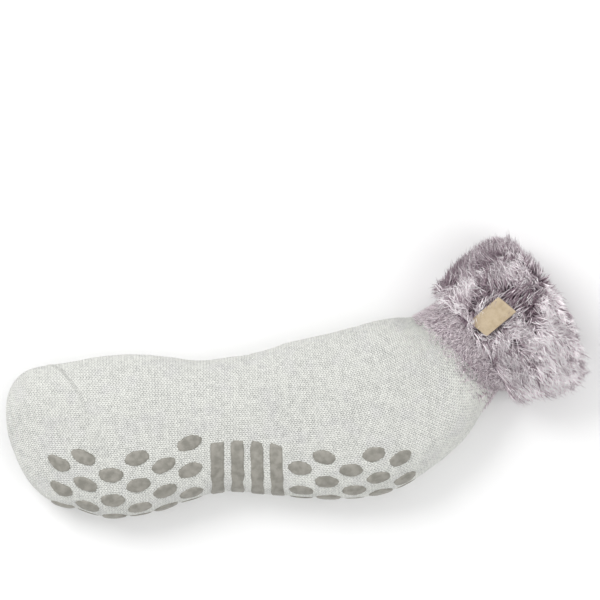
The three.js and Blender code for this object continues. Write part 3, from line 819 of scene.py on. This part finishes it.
def area_weighted(draw, count, place, low, high):
    """Random places of a surface, spread evenly by its area: place gives points from two numbers."""
    a = draw.uniform(low[0], high[0], count * 4)
    b = draw.uniform(low[1], high[1], count * 4)
    step = 0.01
    here = place(a, b)
    area = np.linalg.norm(np.cross(place(a + step, b) - here, place(a, b + step) - here), axis=-1)
    keep = draw.uniform(0, np.percentile(area, 97), count * 4) < area
    return a[keep][:count], b[keep][:count]


# Plush band
BAND_HAIRS = 19000
BAND_HAIR = 3.4
BAND_HAIR_WIDTH = (0.28, 0.5)
BAND_HAIR_LENGTHS = (0.6, 1.15)
BAND_STAND = {"middle": 0.42, "tip": 0.62}  # shares of a hair's length
BAND_LAY = {"middle": 0.2, "tip": 0.75}
BAND_SUNK = 0.4
BAND_SWIRL = {"size": 14, "seed": 9, "even": 0.9, "loose": 0.5}
BAND_TONE = {"middle": 0.52, "size": 18, "seed": 4, "even": 0.07, "loose": 0.17}
BAND_BACK = 0.36  # the hairs end here under the cuff, as a share of the leg's length
BAND_RAGGED = 0.17  # the plush thins out over this share of the leg's length


def plush_band():
    outside = np.linspace(0.0, 0.92, 60)
    places = [(a, 0.0) for a in outside] + [(a, -PLUSH_WALL) for a in outside[::-4]] + [(0.0, 0.0)]
    along, out = np.array(places).T
    s, turn = np.meshgrid(leg_number(along), ring_angles(), indexing="ij")
    points = wall(s, turn, out[:, None])
    made = mesh_of("plush_ground", points.reshape(-1, 3), grid_quads(len(places), AROUND + 1, False))
    ground = backing_finish("plush ground", *BAND_GROUND)
    wear(made, ground, "plush", "plush_band")


def plush_pile():
    draw = np.random.default_rng(21)
    step = 0.002

    def place(along, angle):
        return wall(leg_number_ahead(along), angle)

    low, high = (-BAND_RAGGED, -math.pi), (BAND_BACK, math.pi)
    along, angle = area_weighted(draw, BAND_HAIRS, place, low, high)
    ragged = ripple(place(along, angle), 9, 5) * 0.04
    chance = np.clip((along + ragged + BAND_RAGGED) / (BAND_RAGGED * 1.6), 0, 1) ** 1.5
    keep = draw.uniform(0, 1, len(along)) < chance
    along, angle = along[keep], angle[keep]
    root = place(along, angle)
    normal = wall_normal(leg_number_ahead(along), angle)
    to_toe = unit(place(along - step, angle) - root)
    round_way = np.cross(normal, to_toe)
    swirl = uneven(draw, root, BAND_SWIRL)
    lay = to_toe * np.cos(swirl)[:, None] + round_way * np.sin(swirl)[:, None]
    length = BAND_HAIR * draw.uniform(*BAND_HAIR_LENGTHS, len(root))
    length = length * np.clip(0.55 + (along + BAND_RAGGED) * 3, 0, 1)
    middle = root + (normal * BAND_STAND["middle"] + lay * BAND_LAY["middle"]) * length[:, None]
    tip = root + (normal * BAND_STAND["tip"] + lay * BAND_LAY["tip"]) * length[:, None]
    root = root - normal * BAND_SUNK
    tone = np.clip(uneven(draw, root, BAND_TONE), 0, 1)
    finish = pile_finish("plush pile", *BAND_PILE, 0.6)
    thick = draw.uniform(*BAND_HAIR_WIDTH, len(root))
    pile("plush_pile", root, middle, tip, thick, tone, finish, "plush", "plush_band")


LAST_FOOT_STEP = 15  # millimetres from the foot's last row to the leg


def leg_number_ahead(along):
    """Row number of a place on the leg, or a little before it on the foot where along is below 0."""
    before = PLUSH_ROW + along * LEG_LENGTH / LAST_FOOT_STEP
    return np.where(along < 0, before, leg_number(np.maximum(along, 0)))


# Fur of the cuff: tufts whose hairs lean together
TUFTS = 3600
TUFT_HAIRS = 12
TUFT_SPREAD = 2.2
SPREAD_ALONG = TUFT_SPREAD / 9  # in points of the profile
SPREAD_ROUND = TUFT_SPREAD / 40  # in radians
PILE_FROM = 0.15  # in points of the profile
PILE_TO = len(PROFILE) - 1.6
HAIR_LENGTH = 9.8
TUFT_LENGTHS = (0.75, 1.15)
HAIR_LENGTHS = (0.8, 1.1)
HAIR_SUNK = 0.8
HAIR_LOOSE = 0.16
SWEEP = {"middle": 0.28, "tip": 0.72}
GATHER = {"middle": 0.4, "tip": 0.55}  # how far a tuft's hairs draw together
MIDDLE_STAND = 0.62
TUFT_SWIRL = {"size": 16, "seed": 11, "even": 0.6, "loose": 0.45}
TUFT_TONE = {"middle": 0.5, "size": 24, "seed": 13, "even": 0.1, "loose": 0.16}
HAIR_TONE = 0.15
HAIR_WIDTH = (0.45, 0.8)
INSIDE_LENGTH = 0.45  # of the hairs beyond the fold, as a share
FOLD_SHORTER = 0.22  # of the hairs near the fold, as a share
LABEL_LENGTH_SHARE = 0.7  # of the hairs beneath the label
LABEL_MARGIN = 1.5  # millimetres round the label that count as beneath it
FALL_REACH = 5  # millimetres in front of the label whose hairs fall over it
STAND = {"beneath": 0.2, "falling": 1.0, "elsewhere": 0.62}
LEAN_OVER = 12  # millimetres from the label's middle over which the lean grows
LEAN_BACK = 0.9
LEAN_OUT = {"behind": 0.35, "before": 0.05, "inside": 0.5}
HEM_LEAN = 0.4  # less lean out near the hem
HEM_LEAN_FROM = 9  # millimetres from the label's middle
HEM_LEAN_OVER = 6
HEM_RAISE = 0.35
HEM_RAISE_TO = 1.8  # in points of the profile
PARTING_PUSH = 1.3
# Painted shade of the hairs along the partings
PARTING_SHADE = 0.45
FALL_WAY = {"back": 0.9, "hem": 0.15}
LABEL_SIGHT = LYING_HEIGHT * 0.7  # the tufts above this height are those on the label's side
# Partings show the dark ground, and the hairs beside them are darkened with painted shade: lines in the
# foot's frame seen from above, in millimetres
PARTINGS = [
    {"from": (262, 124), "to": (272, 122), "wide": 3.2, "dark": 0.75},
    {"from": (272, 122), "to": (282, 113), "wide": 3.6, "dark": 0.85},
    {"from": (282, 113), "to": (287, 104), "wide": 2.6, "dark": 0.5},
    {"from": (274, 98), "to": (287, 82), "wide": 2.6, "dark": 0.55},
    {"from": (262, 88), "to": (268, 74), "wide": 2.8, "dark": 0.5},
    {"from": (242, 124), "to": (243, 138), "wide": 4.5, "dark": 0.6},
    {"from": (243, 138), "to": (254, 148), "wide": 3.5, "dark": 0.45},
    {"from": (262, 132), "to": (270, 140), "wide": 2.5, "dark": 0.4},
    {"from": (303, 118), "to": (311, 104), "wide": 2.2, "dark": 0.4},
    {"from": (282, 136), "to": (292, 128), "wide": 2.2, "dark": 0.5},
]
PARTED_ABOVE = 15
# Painted shade and painted light: darker and lighter patches of the pile, seen from above in the foot's
# frame
LIGHT_AND_SHADE_PATCHES = [
    {"at": (245, 134), "wide": 9, "tone": -0.5},
    {"at": (252, 145), "wide": 10, "tone": -0.3},
    {"at": (269, 138), "wide": 13, "tone": -0.2},
    {"at": (270, 82), "wide": 5, "tone": -0.2},
    {"at": (251, 122), "wide": 6, "tone": 0.08},
    {"at": (283, 99), "wide": 9, "tone": 0.12},
    {"at": (300, 84), "wide": 14, "tone": 0.05},
    {"at": (297, 112), "wide": 9, "tone": 0.03},
]


def cuff_body():
    q = np.append(np.linspace(0, len(PROFILE) - 1, 90), [len(PROFILE) - 1, 0])
    angle = ring_angles()
    stations, turn = np.meshgrid(q, angle, indexing="ij")
    points = cuff_wall(stations, turn, BODY_SHARE)
    ends = leg_number(np.array([[PROFILE[-1]["along"]], [HEM_ALONG]]))
    points[-2:] = wall(ends, angle, np.array([[-PLUSH_WALL - 0.05], [0.2]]))
    made = mesh_of("cuff_ground", points.reshape(-1, 3), grid_quads(len(q), AROUND + 1, False))
    ground = backing_finish("cuff ground", *CUFF_GROUND)
    wear(made, ground, "fur", "fur_cuff")


def parted(points):
    """Push away from the nearest parting, and how dark the pile is there, which is painted shade."""
    flat = points[:, :2]
    push = np.zeros_like(points)
    dark = np.zeros(len(points))
    for line in PARTINGS:
        away = from_line(flat, np.array(line["from"], float), np.array(line["to"], float))
        far = np.linalg.norm(away, axis=1)
        near = np.exp(-((far / line["wide"]) ** 2)) * (points[:, 2] > PARTED_ABOVE)
        push[:, :2] += unit(away) * near[:, None]
        dark = np.maximum(dark, near * line["dark"])
    return push, dark


def fur():
    draw = np.random.default_rng(7)

    def place(q, angle):
        return cuff_wall(q, angle, BODY_SHARE)

    q, angle = area_weighted(draw, TUFTS, place, (PILE_FROM, -math.pi), (PILE_TO, math.pi))
    base = place(q, angle)
    normal = cuff_normal(q, angle, BODY_SHARE)
    axis = np.array([math.cos(math.radians(LEG_LEAN)), math.sin(math.radians(LEG_LEAN)), 0])
    back = np.array([axis[1], -axis[0], 0])
    middle = label_place(0.5, 0.5)[0]
    aside = (base - middle) @ back
    ahead = (base - middle) @ axis
    # Tufts under the label lie low, and those beside its front edge fall over it
    long = ahead * math.cos(LABEL_TILT) - aside * math.sin(LABEL_TILT)
    short = -aside * math.cos(LABEL_TILT) - ahead * math.sin(LABEL_TILT)
    above = base[:, 2] > LABEL_SIGHT
    half_length, half_width = LABEL_LENGTH / 2, LABEL_WIDTH / 2
    along_label = np.abs(long) < half_length + LABEL_MARGIN
    beneath = above & along_label & (np.abs(short) < half_width + LABEL_MARGIN)
    in_front = (np.abs(long) < half_length) & (short > 0) & (short < half_width + FALL_REACH)
    falling = above & ~beneath & in_front
    # The pile parts at the label: to the back it sweeps down and out, to the front it stands up and inward
    lean_back = np.clip(aside / LEAN_OVER, -1, 1)
    lean_out = np.where(aside > 0, LEAN_OUT["behind"], LEAN_OUT["before"])
    lean_out = lean_out - np.clip((-HEM_LEAN_FROM - ahead) / HEM_LEAN_OVER, 0, 1) * HEM_LEAN
    outside = q < FOLD_AT
    lean_out = np.where(outside, lean_out, LEAN_OUT["inside"])
    lay = back * (lean_back * LEAN_BACK)[:, None] + axis * lean_out[:, None]
    swirl = uneven(draw, base, TUFT_SWIRL)
    swirled_x = lay[:, 0] * np.cos(swirl) - lay[:, 1] * np.sin(swirl)
    swirled_y = lay[:, 0] * np.sin(swirl) + lay[:, 1] * np.cos(swirl)
    swirled = np.stack([swirled_x, swirled_y, lay[:, 2]], -1)
    push, dark = parted(base)
    lay = swirled * (1 - dark)[:, None] + push * PARTING_PUSH
    lay = np.where(falling[:, None], back * FALL_WAY["back"] - axis * FALL_WAY["hem"], lay)
    lay -= normal * (lay * normal).sum(1, keepdims=True)
    length = HAIR_LENGTH * draw.uniform(*TUFT_LENGTHS, len(base)) * np.where(beneath, LABEL_LENGTH_SHARE, 1)
    length *= 1 - FOLD_SHORTER * np.clip(q - 4, 0, 1)
    length *= np.where(outside, 1, INSIDE_LENGTH)
    # Random tone of the tufts, less painted shade along the partings
    tone = uneven(draw, base, TUFT_TONE) - dark * PARTING_SHADE
    # Painted shade and painted light of the patches
    for patch in LIGHT_AND_SHADE_PATCHES:
        far = np.linalg.norm(base[:, :2] - np.array(patch["at"]), axis=1)
        tone = tone + patch["tone"] * np.exp(-((far / patch["wide"]) ** 2))
    member = np.repeat(np.arange(len(base)), TUFT_HAIRS)
    number = len(member)
    spread_q = q[member] + draw.normal(0, SPREAD_ALONG, number)
    spread_angle = angle[member] + draw.normal(0, SPREAD_ROUND, number)
    root = place(np.clip(spread_q, 0, PILE_TO), spread_angle)
    raised = unit(normal + axis * (HEM_RAISE * np.clip(HEM_RAISE_TO - q, 0, 1))[:, None])
    way = raised[member]
    long = length[member] * draw.uniform(*HAIR_LENGTHS, number)
    sweep = lay[member] + draw.normal(0, HAIR_LOOSE, (number, 3))
    gather = (base[member] - root) * GATHER["tip"]
    stand = np.where(falling, STAND["falling"], STAND["elsewhere"])
    stand = np.where(beneath, STAND["beneath"], stand)[member]
    centre = root + (way * (stand * MIDDLE_STAND)[:, None] + sweep * SWEEP["middle"]) * long[:, None]
    centre = centre + gather * GATHER["middle"]
    tip = root + (way * stand[:, None] + sweep * SWEEP["tip"]) * long[:, None] + gather
    root = root - way * HAIR_SUNK
    shade = np.clip(tone[member] + draw.normal(0, HAIR_TONE, number), 0, 1)
    finish = pile_finish("cuff fur", *CUFF_PILE, 0.55)
    thick = draw.uniform(*HAIR_WIDTH, number)
    pile("cuff_fur", root, centre, tip, thick, shade, finish, "fur", "fur_cuff")


toe_seam()
grips()
label()
plush_band()
plush_pile()
cuff_body()
fur()

# Stage, light and camera
PHOTO_MIDDLE = (159.6, 118.6)  # the picture's middle in the foot's frame
PHOTO_WIDTH = 0.328  # metres across the picture at the height of the folded edges
CAMERA_HEIGHT = 4.0
EDGE_HEIGHT = 0.018
SENSOR = 0.036
WORLD_LIGHT = 0.8
FLOOR_REACH = 3.0
FLOOR_DROP = 0.0002
LIGHTS = [
    {"name": "key", "place": (-0.7, 0.9, 1.3), "size": 0.9, "power": 13},
    {"name": "fill", "place": (0.9, -0.5, 1.2), "size": 1.2, "power": 4},
]


def floor():
    mesh = bpy.data.meshes.new("floor")
    reach = FLOOR_REACH
    corners = [(-reach, -reach, 0), (reach, -reach, 0), (reach, reach, 0), (-reach, reach, 0)]
    mesh.from_pydata(corners, [], [(0, 1, 2, 3)])
    made = bpy.data.objects.new("floor", mesh)
    made.location.z = -FLOOR_DROP
    mesh.materials.append(floor_finish())
    bpy.context.scene.collection.objects.link(made)


def soft_light(name, place, size, power):
    lamp = bpy.data.lights.new(name, "AREA")
    lamp.shape = "DISK"
    lamp.size = size
    lamp.energy = power
    made = bpy.data.objects.new(name, lamp)
    made.location = place
    aim = -made.location.normalized()
    made.rotation_euler = aim.to_track_quat("-Z", "Y").to_euler()
    bpy.context.scene.collection.objects.link(made)


def studio():
    world = bpy.data.worlds.new("studio")
    world.use_nodes = True
    background = world.node_tree.nodes["Background"]
    background.inputs["Color"].default_value = (1.0, 1.0, 1.0, 1)
    background.inputs["Strength"].default_value = WORLD_LIGHT
    scene = bpy.context.scene
    scene.world = world
    scene.view_settings.view_transform = "Standard"
    for lamp in LIGHTS:
        soft_light(**lamp)


def camera():
    made = bpy.data.objects.new("camera", bpy.data.cameras.new("camera"))
    made.data.sensor_width = SENSOR * 1000
    made.data.lens = SENSOR * 1000 * (CAMERA_HEIGHT - EDGE_HEIGHT) / PHOTO_WIDTH
    made.data.clip_end = 20
    middle = to_frame(np.array([*PHOTO_MIDDLE, 0.0]))
    made.location = (middle[0], middle[1], CAMERA_HEIGHT)
    made.rotation_euler = (0, 0, -TURN)
    bpy.context.scene.collection.objects.link(made)
    bpy.context.scene.camera = made


floor()
studio()
camera()
